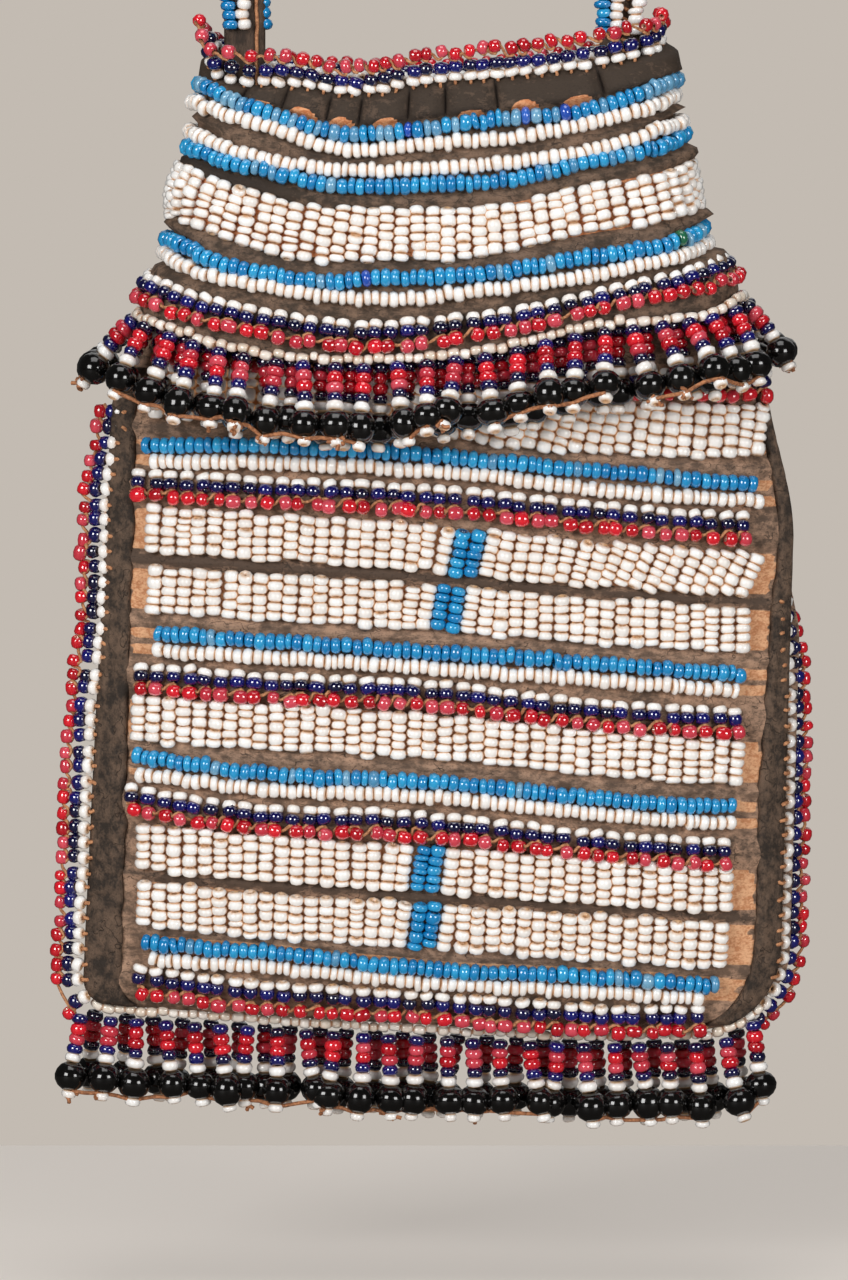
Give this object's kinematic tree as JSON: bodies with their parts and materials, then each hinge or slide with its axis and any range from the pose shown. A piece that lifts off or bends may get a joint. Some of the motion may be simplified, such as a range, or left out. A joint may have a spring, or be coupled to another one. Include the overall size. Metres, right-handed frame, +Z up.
{
  "type": "beaded tobacco bag",
  "caption": "Flat hide pouch faced with rows of glass beads, hung on a beaded strap, with a fringed conical cover that slides up the strap to open it.",
  "frame": {"origin": "underside of the strap's arch, where the bag hangs", "axes": "+Z up along the strap, +X to the right as seen from the front, the beaded front faces -Y"},
  "size_m": [0.1231, 0.0415, 0.2812],
  "materials": {
    "pouch_hide": "worn dark brown hide",
    "cover_hide": "worn dark brown hide",
    "binding_hide": "greasy black brown",
    "strap_hide": "greasy black brown",
    "white_beads": "opaque, satin",
    "blue_beads": "opaque, glossy",
    "picot_beads": "glossy red over white and navy",
    "fringe_beads": "glossy black, with red, navy and white above"
  },
  "bodies": {
    "pouch": {"pouch_front": "pouch_hide", "pouch_back": "pouch_hide", "left_binding": "binding_hide", "right_binding": "binding_hide", "pouch_blue_row_1": "blue_beads", "pouch_blue_row_2": "blue_beads", "pouch_blue_row_3": "blue_beads", "pouch_blue_row_4": "blue_beads", "pouch_white_row_1": "white_beads", "pouch_white_row_2": "white_beads", "pouch_white_row_3": "white_beads", "pouch_white_row_4": "white_beads", "pouch_picot_row_1": "picot_beads", "pouch_picot_row_2": "picot_beads", "pouch_picot_row_3": "picot_beads", "pouch_picot_row_4": "picot_beads", "pouch_picot_row_5": "picot_beads", "pouch_lane_band_1": "white_beads", "pouch_lane_band_2": "white_beads", "pouch_lane_band_3": "white_beads", "pouch_lane_band_4": "white_beads", "pouch_lane_band_5": "white_beads", "pouch_lane_band_6": "white_beads", "blue_inset_1": "blue_beads", "blue_inset_2": "blue_beads", "blue_inset_4": "blue_beads", "blue_inset_5": "blue_beads", "left_edging": "picot_beads", "right_edging": "picot_beads", "pouch_hem_row": "white_beads", "pouch_fringe": "fringe_beads", "strap": "strap_hide", "strap_outer_beads": "blue_beads", "strap_inner_beads": "blue_beads", "strap_front_beads": "white_beads"},
    "cover": {"cover_cone": "cover_hide", "rim_edging": "picot_beads", "cover_blue_row_1": "blue_beads", "cover_blue_row_2": "blue_beads", "cover_blue_row_3": "blue_beads", "cover_white_row_1": "white_beads", "cover_white_row_2": "white_beads", "cover_white_row_3": "white_beads", "cover_lane_band_1": "white_beads", "cover_picot_row_1": "picot_beads", "cover_hem_row_1": "white_beads", "cover_fringe": "fringe_beads"}
  },
  "joints": [
    {"name": "cover_slide", "type": "slide", "parent": "pouch", "child": "cover", "axis": [0, 0, 1], "range_m": [0, 0.06]}
  ]
}
